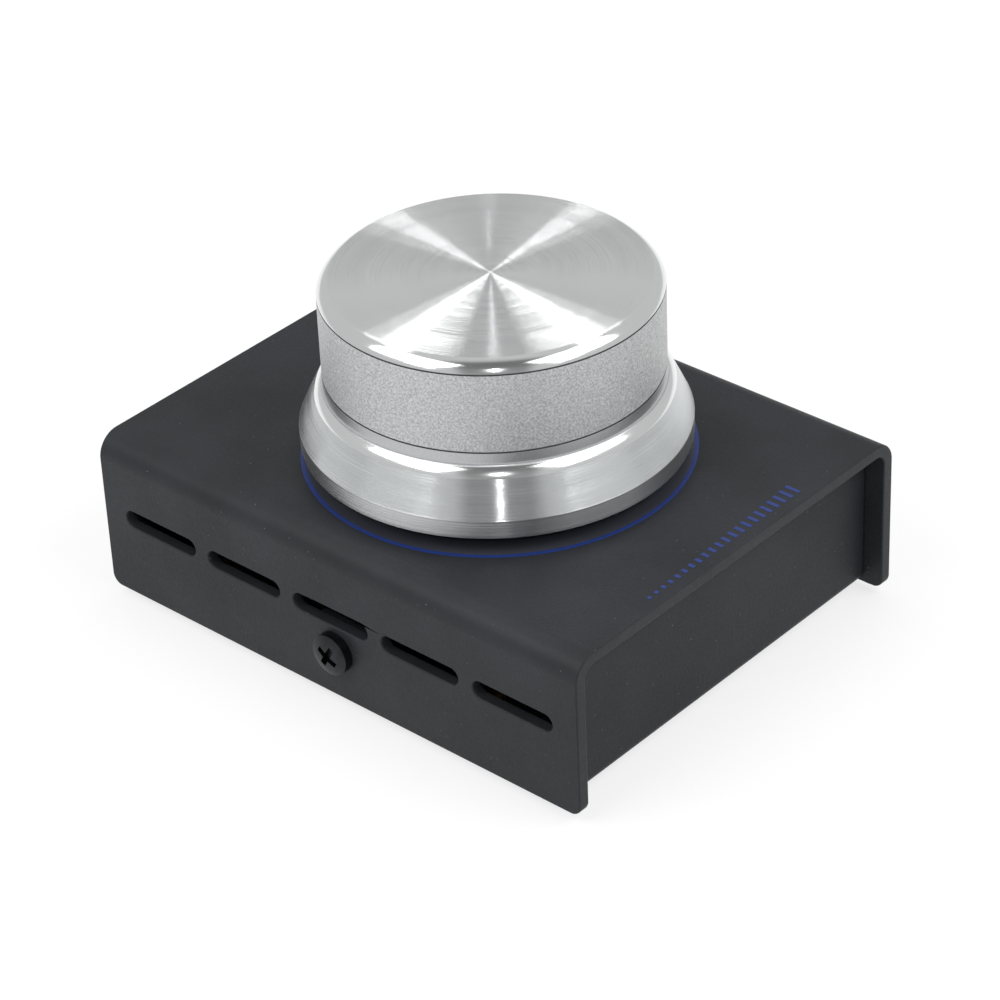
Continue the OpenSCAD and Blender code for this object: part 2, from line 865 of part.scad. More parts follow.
// Right half of the knob's outer section, from the rim's underside to the face
module knob_outline() {
    knob_r = knob_d / 2;
    translate([0, rim_z])
        square([rim_d / 2, rim_h]);
    polygon([[0, rim_top - e], [rim_d / 2, rim_top - e], [rim_d / 2, rim_top],
        [skirt_top_d / 2, skirt_z], [0, skirt_z]]);
    translate(shoulder_c)
        circle(shoulder_r);
    translate([0, skirt_z - e])
        square([knob_r, knob_top - edge_r - skirt_z + e]);
    translate([knob_r - neck_r, neck_end[1] - neck_r])
        square([neck_end[0] - knob_r + neck_r, neck_c[1] - neck_end[1] + neck_r]);
    translate([0, knob_top - edge_r - e])
        square([knob_r - edge_r, edge_r + e]);
    translate([knob_r - edge_r, knob_top - edge_r])
        circle(edge_r);
}

// One hairline: a shallow groove with a square section, turned on its corner
module hairline_cut(z)
    translate([knob_d / 2, z])
        rotate(45)
            square(hairline / sqrt(2), center = true);

module knob() color("#c8cbcc") {
    at_axis()
        difference() {
            rotate_extrude($fn = 180)
                difference() {
                    knob_outline();
                    translate(neck_c)
                        circle(neck_r + e / 4);
                    hairline_cut(lower_line);
                    hairline_cut(upper_line);
                    translate([boss_d / 2, rim_z - 1])
                        square([knob_d / 2 - knob_wall - boss_d / 2, hollow_top - rim_z + 1]);
                    translate([0, rim_z - 1])
                        square([boss_d / 2 + e, boss_z - rim_z + 1]);
                    translate([0, rim_z - 1])
                        square([rim_d / 2 - skirt_wall, mouth_depth + 1]);
                    square([bush_d / 2, bush_top]);
                }
        }
}

cover();
chassis();
cover_screws();
rubber_feet();
board_pillars();
board_screws();
circuit_board();
controller_chip();
chip_leads();
crystal_can();
can_capacitors();
chip_capacitors();
chip_resistors();
usb_socket_shell();
usb_socket_tongue();
usb_socket_contacts();
encoder_housing();
encoder_bracket();
encoder_bushing();
encoder_terminals();
encoder_washer();
encoder_nut();
detent_spring();
switch_dome();
encoder_rotor();
encoder_shaft();
knob_bush();
knob();
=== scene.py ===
import math

import bmesh
import bpy
from mathutils import Matrix, Vector


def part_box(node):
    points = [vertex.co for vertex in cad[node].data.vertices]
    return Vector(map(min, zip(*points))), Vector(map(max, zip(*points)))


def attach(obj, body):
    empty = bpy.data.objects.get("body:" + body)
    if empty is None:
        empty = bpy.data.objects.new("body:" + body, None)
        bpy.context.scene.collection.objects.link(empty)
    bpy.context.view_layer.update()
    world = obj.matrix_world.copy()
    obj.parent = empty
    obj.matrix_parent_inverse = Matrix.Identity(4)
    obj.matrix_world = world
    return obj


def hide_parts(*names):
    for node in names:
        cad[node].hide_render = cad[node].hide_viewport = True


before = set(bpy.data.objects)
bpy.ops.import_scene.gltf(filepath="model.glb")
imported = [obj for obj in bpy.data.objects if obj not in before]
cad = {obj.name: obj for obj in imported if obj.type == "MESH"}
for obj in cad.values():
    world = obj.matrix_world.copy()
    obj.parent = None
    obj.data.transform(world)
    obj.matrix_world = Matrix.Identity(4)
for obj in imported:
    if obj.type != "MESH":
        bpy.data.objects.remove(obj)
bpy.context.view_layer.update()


# ---------------------------------------------------------------- camera
# A long lens looks down on the near corner of the case. Its place, turn and focal length
# were fitted to the case's edges, the screw and the knob's rings in the photograph.
image_px = 1000
focal_px = 3643.4
sensor_mm = 36
nearest_seen = 0.01
camera_azimuth = math.radians(-47.389)
camera_elevation = math.radians(33.435)
camera_roll = math.radians(-2.586)
camera_place = Vector((-0.30522, -0.28171, 0.28925))

camera_data = bpy.data.cameras.new("camera")
camera_data.sensor_width = sensor_mm
camera_data.lens = sensor_mm * focal_px / image_px
camera_data.clip_start = nearest_seen
camera = bpy.data.objects.new("camera", camera_data)
bpy.context.scene.collection.objects.link(camera)
camera.matrix_world = (
    Matrix.Translation(camera_place)
    @ Matrix.Rotation(camera_azimuth, 4, "Z")
    @ Matrix.Rotation(math.pi / 2 - camera_elevation, 4, "X")
    @ Matrix.Rotation(camera_roll, 4, "Z")
)
bpy.context.scene.camera = camera
bpy.context.scene.view_settings.view_transform = "Standard"


# ---------------------------------------------------------------- floor
# A wide sheet of white paper. It shows white to the camera and in the metal, and still
# takes a faint shadow from the case.
def srgb(hex_code):
    """An sRGB hex colour as linear red, green, blue and alpha."""
    parts = [int(hex_code[i : i + 2], 16) / 255 for i in (1, 3, 5)]
    linear = [p / 12.92 if p <= 0.04045 else ((p + 0.055) / 1.055) ** 2.4 for p in parts]
    return (*linear, 1.0)


def node(tree, kind, settings=None, **links):
    """Adds a node, sets its properties, and sets or links its inputs.

    An input goes by its name, with _ for a space, or by its number after an i."""
    new = tree.nodes.new("ShaderNode" + kind)
    for name, value in (settings or {}).items():
        setattr(new, name, value)
    for name, value in links.items():
        key = int(name[1:]) if name[1:].isdigit() else name.replace("_", " ")
        if isinstance(value, bpy.types.NodeSocket):
            tree.links.new(value, new.inputs[key])
        else:
            new.inputs[key].default_value = value
    return new


def blank_material(name):
    """A material with an empty tree, and its output node."""
    made = bpy.data.materials.new(name)
    made.use_nodes = True
    made.node_tree.nodes.clear()
    return made, made.node_tree, node(made.node_tree, "OutputMaterial")


def finished_mesh(name, bm, smooth=True):
    """Closes a bmesh into a mesh data block, its faces pointing outwards."""
    bmesh.ops.recalc_face_normals(bm, faces=bm.faces)
    for face in bm.faces:
        face.smooth = smooth
    mesh = bpy.data.meshes.new(name)
    bm.to_mesh(mesh)
    bm.free()
    return mesh


def new_object(name, mesh, *materials):
    """Links a mesh data block to the scene as an object with these materials."""
    for material in materials:
        mesh.materials.append(material)
    made = bpy.data.objects.new(name, mesh)
    bpy.context.scene.collection.objects.link(made)
    return made


floor_size = 6.0
floor_glow = 0.72

# White paper: an even matt white, which the camera and the metal see a little brighter.
white_paper, tree, output = blank_material("white_paper")
paper = node(tree, "BsdfDiffuse", Color=srgb("#F4F4F4"))
glow = node(tree, "Emission", Color=srgb("#FFFFFF"), Strength=1.0)
path = node(tree, "LightPath")
seen = node(tree, "Math", {"operation": "MAXIMUM"},
            i0=path.outputs["Is Camera Ray"], i1=path.outputs["Is Glossy Ray"])
seen = node(tree, "Math", {"operation": "MAXIMUM"},
            i0=seen.outputs[0], i1=path.outputs["Is Transmission Ray"])
share = node(tree, "Math", {"operation": "MULTIPLY"}, i0=seen.outputs[0], i1=floor_glow)
mixed = node(tree, "MixShader", i0=share.outputs[0], i1=paper.outputs[0], i2=glow.outputs[0])
tree.links.new(mixed.outputs[0], output.inputs["Surface"])

bm = bmesh.new()
bmesh.ops.create_grid(bm, x_segments=1, y_segments=1, size=floor_size / 2)
floor = new_object("floor", finished_mesh("floor", bm, smooth=False), white_paper)


# ---------------------------------------------------------------- lights
# Two soft boxes stand to the left and right, and a small flash sits over the lens. A spot
# and bare tubes hang over and behind the knob, for the bright lines on its turned face.
towards_camera = Vector((math.sin(camera_azimuth), -math.cos(camera_azimuth), 0))
to_right = Vector((math.cos(camera_azimuth), math.sin(camera_azimuth), 0))
aim = Vector((0, 0, 0.045))
lamp_distance, flash_distance = 0.6, 0.52


def level_way(azimuth):
    """The level direction at this azimuth in degrees, from the camera's to the right."""
    turn = math.radians(azimuth)
    return math.cos(turn) * towards_camera + math.sin(turn) * to_right


def hang_lamp(name, place, turn, size, power):
    """Links a rectangular lamp with this size in metres and power in watts."""
    lamp = bpy.data.lights.new(name, "AREA")
    lamp.shape = "RECTANGLE"
    lamp.size, lamp.size_y = size
    lamp.energy = power
    holder = bpy.data.objects.new(name, lamp)
    holder.matrix_world = Matrix.Translation(place) @ turn.to_4x4()
    bpy.context.scene.collection.objects.link(holder)


def aimed_light(name, azimuth, elevation, distance, size, power):
    """A lamp that faces the knob from this azimuth and elevation in degrees."""
    rise = math.radians(elevation)
    way = math.cos(rise) * level_way(azimuth) + Vector((0, 0, math.sin(rise)))
    hang_lamp(name, aim + distance * way, way.to_track_quat("Z", "Y").to_matrix(), size, power)


soft_box = (0.46, 0.34)
aimed_light("soft_box_left", -64, 45, lamp_distance, soft_box, 1.9)
aimed_light("soft_box_right", 64, 45, lamp_distance, soft_box, 1.9)
aimed_light("flash", 0, 35.5, flash_distance, (0.012, 0.012), 0.3)
aimed_light("ceiling_spot", 180, 75, lamp_distance, (0.008, 0.008), 0.03)

tube_w = 0.005
tube_leans = (15, 32)
tubes_a_side, bright_tubes = 9, 5
first_line, line_step = 31, 2.2
bright_power, faint_power = 0.05, 0.012


def hang_tube(name, line_azimuth, power):
    """A bare tube, hung where the knob's face shows it as a bright line at this azimuth.

    The cut rings that mirror it to the camera lean outwards by tube_leans in degrees."""
    to_eye = (camera_place - aim).normalized()
    ends = []
    for lean in map(math.radians, tube_leans):
        flank = math.sin(lean) * level_way(line_azimuth) + Vector((0, 0, math.cos(lean)))
        ends.append(aim + lamp_distance * (2 * flank.dot(to_eye) * flank - to_eye))
    middle = (ends[0] + ends[1]) / 2
    along = (ends[1] - ends[0]).normalized()
    across = along.cross(middle - aim).normalized()
    turn = Matrix((across, along, across.cross(along))).transposed()
    hang_lamp(name, middle, turn, (tube_w, (ends[1] - ends[0]).length), power)


for side, side_name in ((-1, "left"), (1, "right")):
    for i in range(tubes_a_side):
        power = bright_power if i < bright_tubes else faint_power
        hang_tube(f"tube_{side_name}_{i + 1}", side * (first_line + line_step * i), power)

# The room: pale walls and ceiling, but dark where the camera's stand blocks them. Each
# pair below is a soft edge of the stand, as the share of a direction that points towards
# the camera, aside or up.
room_pale = 0.60
room_blocked_low, room_blocked_high = 0.33, 0.18
stand_near, stand_side, stand_rise = (0.05, 0.4), (0.26, 0.44), (0.35, 0.8)

world = bpy.data.worlds.new("pale_room")
bpy.context.scene.world = world
world.use_nodes = True
tree = world.node_tree
tree.nodes.clear()
where = node(tree, "TexCoord").outputs["Generated"]
facing = node(tree, "VectorMath", {"operation": "DOT_PRODUCT"}, i0=where, i1=towards_camera)
sideways = node(tree, "VectorMath", {"operation": "DOT_PRODUCT"}, i0=where, i1=to_right)
aside = node(tree, "Math", {"operation": "ABSOLUTE"}, i0=sideways.outputs["Value"])
ahead = node(tree, "MapRange", {"interpolation_type": "SMOOTHSTEP"}, Value=facing.outputs["Value"],
             From_Min=stand_near[0], From_Max=stand_near[1])
height = node(tree, "SeparateXYZ", Vector=where)
blocked = node(tree, "MapRange", Value=height.outputs["Z"],
               From_Min=stand_rise[0], From_Max=stand_rise[1],
               To_Min=room_blocked_low, To_Max=room_blocked_high)
level = node(tree, "MapRange", {"interpolation_type": "SMOOTHSTEP"}, Value=aside.outputs[0],
             From_Min=stand_side[0], From_Max=stand_side[1],
             To_Min=blocked.outputs[0], To_Max=room_pale)
level = node(tree, "Mix", {"data_type": "FLOAT"},
             i0=ahead.outputs[0], i2=room_pale, i3=level.outputs[0])
background = node(tree, "Background", Color=srgb("#FFFFFF"), Strength=level.outputs[0])
node(tree, "OutputWorld", Surface=background.outputs[0])


# ---------------------------------------------------------------- chassis
# The tray that carries everything: sheet steel, punched and folded up at both ends, then
# powder coated. Its walls are seen under the lid's front edge and through the vent slots.
MM = 0.001

# Powder coat: a baked resin. It is satin and faintly pebbled, with a fleck of lighter
# dust here and there, and a little greyer where hands have rubbed it.
coat_fleck = srgb("#8A8C90")
pebble = 0.45 * MM
pebble_deep = 0.04 * MM
fleck_spacing = 1.3 * MM
fleck_r = 0.10 * MM
fleck_core, fleck_hidden, fleck_strength = 0.4, 0.35, 0.6
rubbed_patch = 16 * MM
worn_from, worn_to = 0.38, 0.64
noise_low, noise_high = 0.3, 0.7


def follow(tree, noise, low, high):
    """A value from low to high that follows a noise, most of which is in the noise span."""
    return node(tree, "MapRange", Value=noise.outputs["Fac"],
                From_Min=noise_low, From_Max=noise_high, To_Min=low, To_Max=high).outputs[0]


def close_material(tree, output, **inputs):
    """Ends a material's tree in a Principled shader with these inputs."""
    skin = node(tree, "BsdfPrincipled", **inputs)
    tree.links.new(skin.outputs[0], output.inputs["Surface"])


def powder_coat(name, black, rubbed, rough_low, rough_high):
    """A powder-coated surface of this black, rubbed to the second one in patches."""
    made, tree, output = blank_material(name)
    where = node(tree, "TexCoord").outputs["Object"]
    patches = node(tree, "TexNoise", Vector=where, Scale=1 / rubbed_patch, Detail=4.0)
    worn = node(tree, "MapRange", Value=patches.outputs["Fac"],
                From_Min=worn_from, From_Max=worn_to)
    pebbles = node(tree, "TexNoise", Vector=where, Scale=1 / pebble, Detail=3.0, Roughness=0.6)
    cells = node(tree, "TexVoronoi", Vector=where, Scale=1 / fleck_spacing)
    reach = fleck_r / fleck_spacing
    near = node(tree, "MapRange", Value=cells.outputs["Distance"],
                From_Min=reach, From_Max=reach * fleck_core)
    cell_tone = node(tree, "SeparateColor", Color=cells.outputs["Color"])
    bright = node(tree, "MapRange", Value=cell_tone.outputs["Red"],
                  From_Min=fleck_hidden, From_Max=1.0, To_Max=fleck_strength)
    fleck = node(tree, "Math", {"operation": "MULTIPLY"}, i0=near.outputs[0], i1=bright.outputs[0])
    coat = node(tree, "Mix", {"data_type": "RGBA"}, i0=worn.outputs[0], i6=black, i7=rubbed)
    coat = node(tree, "Mix", {"data_type": "RGBA"},
                i0=fleck.outputs[0], i6=coat.outputs[2], i7=coat_fleck)
    gloss = follow(tree, pebbles, rough_low, rough_high)
    relief = node(tree, "Math", {"operation": "ADD"},
                  i0=pebbles.outputs["Fac"], i1=fleck.outputs[0])
    bumps = node(tree, "Bump", Strength=0.7, Distance=pebble_deep, Height=relief.outputs[0])
    close_material(tree, output, Base_Color=coat.outputs[2], Roughness=gloss,
                   Specular_IOR_Level=0.2, Normal=bumps.outputs["Normal"])
    return made


weld = 0.001 * MM
same_plane, sharp_from = math.radians(0.5), math.radians(40)
large_faces_first = 100


def eased_copy(name, ease_w, finish):
    """Stands for a CAD node with a copy, its flat faces joined up and its edges eased."""
    bm = bmesh.new()
    bm.from_mesh(cad[name].data)
    bmesh.ops.remove_doubles(bm, verts=bm.verts, dist=weld)
    bmesh.ops.dissolve_limit(bm, angle_limit=same_plane, verts=bm.verts, edges=bm.edges)
    piece = new_object("coated_" + name, finished_mesh("coated_" + name, bm), finish)
    easing = piece.modifiers.new("eased_edges", "BEVEL")
    easing.width = ease_w
    easing.segments = 2
    easing.limit_method = "ANGLE"
    easing.angle_limit = sharp_from
    easing.use_clamp_overlap = False
    evening = piece.modifiers.new("even_faces", "WEIGHTED_NORMAL")
    evening.weight = large_faces_first
    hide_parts(name)
    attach(piece, "case")


tray_coat = powder_coat("powder_coated_tray", srgb("#1D1E22"), srgb("#232529"), 0.46, 0.58)
eased_copy("chassis", 0.12 * MM, tray_coat)


# ---------------------------------------------------------------- rubber feet
# Four round feet under the tray's corners, moulded in black rubber and glued on. They
# keep the lid's lower edges clear of the desk.
flow_patch = 5 * MM


def moulded(name, colour, second, rough_low, rough_high, grain, depth):
    """A moulded surface: its mould's grain, and a faint flow from one tone to another."""
    made, tree, output = blank_material(name)
    where = node(tree, "TexCoord").outputs["Object"]
    grains = node(tree, "TexNoise", Vector=where, Scale=1 / grain, Detail=3.0)
    flow = node(tree, "TexNoise", Vector=where, Scale=1 / flow_patch, Detail=2.0)
    tone = node(tree, "Mix", {"data_type": "RGBA"}, i0=flow.outputs["Fac"], i6=colour, i7=second)
    gloss = follow(tree, grains, rough_low, rough_high)
    bumps = node(tree, "Bump", Strength=0.5, Distance=depth, Height=grains.outputs["Fac"])
    close_material(tree, output, Base_Color=tone.outputs[2], Roughness=gloss,
                   Normal=bumps.outputs["Normal"])
    return made


def give_finish(finish, *names):
    """Gives these CAD nodes a finish in place of their plain one."""
    for name in names:
        cad[name].material_slots[0].material = finish


# Moulded rubber: matt, with the fine dull grain of its mould.
rubber = moulded("moulded_black_rubber", srgb("#1B1B1C"), srgb("#272728"), 0.72, 0.88,
                 grain=0.25 * MM, depth=0.03 * MM)
give_finish(rubber, "rubber_feet")


# ---------------------------------------------------------------- board and its parts
# Brass pillars clinched in the tray carry the circuit board, held by four small screws.
# Soldered on it are the controller chip, a crystal, two capacitor cans, and rows of chip
# capacitors and resistors.
tarnish_patch = 3 * MM
tarnish_from, tarnish_to = 0.4, 0.7
mark_deep = 0.01 * MM


def worked_metal(name, clean, tarnished, rough_low, rough_high, marks_across, marks_along):
    """A metal with the fine marks of rolling or turning, and a tarnish in soft patches."""
    made, tree, output = blank_material(name)
    where = node(tree, "TexCoord").outputs["Object"]
    drawn_out = node(tree, "Mapping", Vector=where,
                     Scale=(1 / marks_across, 1 / marks_across, 1 / marks_along))
    marks = node(tree, "TexNoise", Vector=drawn_out.outputs[0], Scale=1.0, Detail=4.0)
    patches = node(tree, "TexNoise", Vector=where, Scale=1 / tarnish_patch, Detail=3.0)
    dull = node(tree, "MapRange", Value=patches.outputs["Fac"],
                From_Min=tarnish_from, From_Max=tarnish_to)
    tone = node(tree, "Mix", {"data_type": "RGBA"}, i0=dull.outputs[0], i6=clean, i7=tarnished)
    gloss = follow(tree, marks, rough_low, rough_high)
    bumps = node(tree, "Bump", Strength=0.3, Distance=mark_deep, Height=marks.outputs["Fac"])
    close_material(tree, output, Base_Color=tone.outputs[2], Metallic=1.0,
                   Roughness=gloss, Normal=bumps.outputs["Normal"])
    return made


# Turned brass: bright rings from the cutting tool, and a thin brown tarnish in patches.
brass = worked_metal("turned_brass", srgb("#D9BC78"), srgb("#B58F52"), 0.2, 0.36,
                     marks_across=0.8 * MM, marks_along=0.12 * MM)
give_finish(brass, "board_pillars")

# Nickel plate: a thin bright coat with a warm cast, over rolled or turned steel.
nickel = worked_metal("nickel_plated_steel", srgb("#D2D0CA"), srgb("#B9B7B1"), 0.16, 0.32,
                      marks_across=0.15 * MM, marks_along=0.6 * MM)
give_finish(nickel, "board_screws", "crystal_can")

# Tinned copper: soft, greyer than nickel and duller.
tinned = worked_metal("tinned_copper", srgb("#C9CBCC"), srgb("#A9ABAD"), 0.3, 0.5,
                      marks_across=0.15 * MM, marks_along=0.4 * MM)
give_finish(tinned, "chip_leads")

# Solder resist: a smooth green lacquer over glass cloth, whose weave shows through it. The
# cloth's threads are 0.5 mm apart, and a Wave texture of scale 0.314 has bands 1 m apart.
thread = 0.5 * MM
bands_a_metre = 0.314
weave_deep = 0.01 * MM
lacquer_patch = 4 * MM
board_green, tree, output = blank_material("green_solder_resist")
where = node(tree, "TexCoord").outputs["Object"]
weft, warp = (
    node(tree, "TexWave", {"bands_direction": way}, Vector=where, Scale=bands_a_metre / thread,
         Distortion=0.6)
    for way in "XY"
)
weave = node(tree, "Math", {"operation": "MULTIPLY"},
             i0=weft.outputs["Fac"], i1=warp.outputs["Fac"])
patches = node(tree, "TexNoise", Vector=where, Scale=1 / lacquer_patch, Detail=2.0)
depth = node(tree, "Math", {"operation": "MULTIPLY_ADD"},
             i0=weave.outputs[0], i1=0.5, i2=patches.outputs["Fac"])
lacquer = node(tree, "Mix", {"data_type": "RGBA"},
               i0=depth.outputs[0], i6=srgb("#0F4A2A"), i7=srgb("#1F7040"))
bumps = node(tree, "Bump", Strength=0.3, Distance=weave_deep, Height=weave.outputs[0])
gloss = node(tree, "MapRange", Value=patches.outputs["Fac"], To_Min=0.22, To_Max=0.36)
close_material(tree, output, Base_Color=lacquer.outputs[2], Roughness=gloss.outputs[0],
               Normal=bumps.outputs["Normal"])
give_finish(board_green, "circuit_board")

# Epoxy moulding compound: dull black with a fine grit, as on every chip.
epoxy = moulded("moulded_epoxy", srgb("#1D1D1E"), srgb("#262627"), 0.5, 0.68,
                grain=0.12 * MM, depth=0.02 * MM)
give_finish(epoxy, "controller_chip", "chip_resistors")

# Drawn aluminium can: soft upright streaks from the die.
can = worked_metal("drawn_aluminium", srgb("#D5D6D8"), srgb("#C2C4C7"), 0.26, 0.42,
                   marks_across=0.12 * MM, marks_along=2.5 * MM)
give_finish(can, "can_capacitors")

# Fired ceramic: buff brown, dense and slightly glossy.
ceramic = moulded("fired_ceramic", srgb("#A98D69"), srgb("#937852"), 0.34, 0.5,
                  grain=0.15 * MM, depth=0.01 * MM)
give_finish(ceramic, "chip_capacitors")


# ---------------------------------------------------------------- USB socket
# A folded nickel-plated shell in the rear wall, soldered to the board, round a black nylon
# tongue with gold-flashed contacts.
give_finish(nickel, "usb_socket_shell")

# Moulded nylon: black and satin, with a fine grain.
black_nylon = moulded("moulded_black_nylon", srgb("#19191A"), srgb("#222223"), 0.38, 0.52,
                      grain=0.2 * MM, depth=0.02 * MM)
give_finish(black_nylon, "usb_socket_tongue")

# Gold flash: a skin of gold on rolled bronze, bright and yellow with faint rolling marks.
flashed_gold = worked_metal("gold_flash", srgb("#E6C878"), srgb("#D6B464"), 0.2, 0.3,
                            marks_across=0.1 * MM, marks_along=0.6 * MM)
give_finish(flashed_gold, "usb_socket_contacts")


# ---------------------------------------------------------------- encoder
# Its nut clamps it to the lid. The housing and rotor are moulded, the strap, bushing,
# washer and nut plated steel, the leads tinned and the shaft ground. A bronze leaf clicks
# on the rotor's teeth, and a bronze snap dome lies under the shaft.
give_finish(black_nylon, "encoder_housing")
give_finish(nickel, "encoder_bracket", "encoder_bushing", "encoder_washer", "encoder_nut")
give_finish(tinned, "encoder_terminals")

# Phosphor bronze: rolled strip, reddish and springy bright.
bronze = worked_metal("phosphor_bronze", srgb("#CB9468"), srgb("#A9714A"), 0.22, 0.38,
                      marks_across=0.1 * MM, marks_along=1.2 * MM)
give_finish(bronze, "detent_spring", "switch_dome")

# Natural nylon: cream, a little waxy.
nylon = moulded("natural_nylon", srgb("#DED8C6"), srgb("#D2CAB4"), 0.36, 0.5,
                grain=0.3 * MM, depth=0.02 * MM)
give_finish(nylon, "encoder_rotor")

# Ground steel: the shaft is ground to size, which leaves fine rings round it.
ground = worked_metal("ground_steel", srgb("#C6C5C2"), srgb("#B0AFAC"), 0.18, 0.3,
                      marks_across=1.5 * MM, marks_along=0.08 * MM)
give_finish(ground, "encoder_shaft")


# ---------------------------------------------------------------- cover
# The lid: thicker sheet steel with five slots punched in each side, folded down over the
# tray, deburred and powder coated. The coat pulls back a little on its punched edges.
lid_coat = powder_coat("powder_coated_lid", srgb("#222427"), srgb("#292B2F"), 0.42, 0.54)
eased_copy("cover", 0.22 * MM, lid_coat)


# ---------------------------------------------------------------- cover screws
# Black pan-head screws, one in each side. Black oxide on turned steel: a dark, thin skin
# that lets the cutter's rings shine through, worn to grey where a driver has slipped.
oxide = worked_metal("black_oxide_steel", srgb("#2A2B2E"), srgb("#3A3B3E"), 0.34, 0.5,
                     marks_across=0.5 * MM, marks_along=0.1 * MM)
give_finish(oxide, "cover_screws")


# ---------------------------------------------------------------- printed ring and bars
# Screen print on the lid: a blue ring round the knob, and along the front edge a row of
# bars that grow to the right, as a plain sign for the volume. Inside the ring lies a black
# disc of painted shade, for the shadow under the knob's rim.
knob_low, knob_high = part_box("knob")
axis = (knob_low + knob_high) / 2
axis.z = 0
deck_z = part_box("cover")[1].z
blue_t, shade_disc_t = 0.03 * MM, 0.02 * MM
ring_middle = axis + Vector((-0.36 * MM, -0.6 * MM, 0))
ring_r, ring_w, ring_steps = 26.52 * MM, 0.6 * MM, 192
shade_disc_in_r = 6.5 * MM
bar_n, bar_w = 22, 0.6 * MM
bar_short, bar_tall = 0.5 * MM, 2.3 * MM
bars_y = -40.9 * MM
bars_from, bars_to = -16.2 * MM, 14.6 * MM
ink_mottle = 0.4 * MM
ink_relief = 0.01 * MM


def print_and_shade_film(name, colour, second, rough_low, rough_high, bump):
    """A film, a little mottled as ink is by the mesh that it went through. It makes the printed
    ink, and the disc of painted shade.
    """
    made, tree, output = blank_material(name)
    where = node(tree, "TexCoord").outputs["Object"]
    mottle = node(tree, "TexNoise", Vector=where, Scale=1 / ink_mottle, Detail=3.0)
    tone = node(tree, "Mix", {"data_type": "RGBA"}, i0=mottle.outputs["Fac"], i6=colour, i7=second)
    bumps = node(tree, "Bump", Strength=bump, Distance=ink_relief, Height=mottle.outputs["Fac"])
    gloss = node(tree, "MapRange", Value=mottle.outputs["Fac"], To_Min=rough_low, To_Max=rough_high)
    close_material(tree, output, Base_Color=tone.outputs[2], Roughness=gloss.outputs[0],
                   Normal=bumps.outputs["Normal"])
    return made


def round_film(name, inner_r, outer_r, thick, ink):
    """A flat ring of film on the lid, between two radii from ring_middle: the printed ring, and the
    disc of painted shade.
    """
    bm = bmesh.new()
    corners = [(inner_r, 0), (inner_r, thick), (outer_r, thick), (outer_r, 0)]
    strip = [bm.verts.new(ring_middle + Vector((r, 0, deck_z + z))) for r, z in corners]
    sides = [bm.edges.new((strip[i], strip[(i + 1) % 4])) for i in range(4)]
    bmesh.ops.spin(bm, geom=strip + sides, cent=ring_middle, axis=(0, 0, 1), angle=math.tau,
                   steps=ring_steps, use_merge=True)
    return new_object(name, finished_mesh(name, bm, smooth=False), ink)


# Blue screen ink: a thick, nearly matt film.
blue_ink = print_and_shade_film("blue_screen_ink", srgb("#10265F"), srgb("#183276"), 0.4, 0.6, bump=0.4)
ring = round_film("printed_ring", ring_r - ring_w / 2, ring_r + ring_w / 2, blue_t, blue_ink)

bm = bmesh.new()
for i in range(bar_n):
    share = i / (bar_n - 1)
    tall = bar_short + (bar_tall - bar_short) * share
    middle = Vector((bars_from + (bars_to - bars_from) * share, bars_y + tall / 2,
                     deck_z + blue_t / 2))
    bar_size = Matrix.Diagonal((bar_w, tall, blue_t, 1))
    bmesh.ops.create_cube(bm, size=1, matrix=Matrix.Translation(middle) @ bar_size)
bars = new_object("printed_bars", finished_mesh("printed_bars", bm, smooth=False), blue_ink)

# Black film: a disc of painted shade, for the shadow under the knob's rim. It is smoother
# and glossier than the coat that it lies on.
shade_disc_film = print_and_shade_film("painted_shade_disc_film", srgb("#303238"), srgb("#383A41"), 0.3, 0.45, bump=0.3)
shade_disc = round_film("painted_shade_disc", shade_disc_in_r, ring_r, shade_disc_t, shade_disc_film)
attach(shade_disc, "case")

for print_piece in (ring, bars):
    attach(print_piece, "case")


# ---------------------------------------------------------------- knob bush
# A bush of moulded black nylon, pressed into the knob's boss. Its D-shaped bore grips the
# flat of the encoder's shaft.
give_finish(black_nylon, "knob_bush")


# ---------------------------------------------------------------- knob
# Turned from aluminium bar in one piece: faced and skirted with a round-nosed tool, its
# edge and shoulder polished, its side bead blasted between two fine grooves. It is
# pressed on to the shaft by its bush. Its sizes are in millimetres.
rim_r, rim_h = 26.5, 2.65
skirt_top_r, skirt_h = 24.2, 7.65
shoulder_r, neck_r = 3.4, 0.6
side_r, lower_line, hairline = 23.0, 10.9, 0.24
edge_w, edge_r = 1.6, 3.2
mouth_r, mouth_h, hollow_r, face_t = 22.9, 4.5, 19.5, 6.0
boss_r, bush_r = 7.0, 5.0
corner_w = 0.12
pip_r, pip_deep = 0.35, 0.08
turn_steps = 256
crease = math.radians(25)

face_z = (knob_high.z - knob_low.z) / MM
boss_z = (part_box("knob_bush")[0].z - knob_low.z) / MM
bush_z = (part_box("knob_bush")[1].z - knob_low.z) / MM


def arc(middle_r, middle_z, radius, start, end, steps):
    """Points along an arc of the outline, its angles in degrees from outwards."""
    turns = [math.radians(start + (end - start) * i / steps) for i in range(steps + 1)]
    return [(middle_r + radius * math.cos(t), middle_z + radius * math.sin(t)) for t in turns]


def groove(z):
    """A square groove turned into the side at this height."""
    top, bottom, floor_r = z + hairline / 2, z - hairline / 2, side_r - hairline
    return [(side_r, top), (floor_r, top), (floor_r, bottom), (side_r, bottom)]


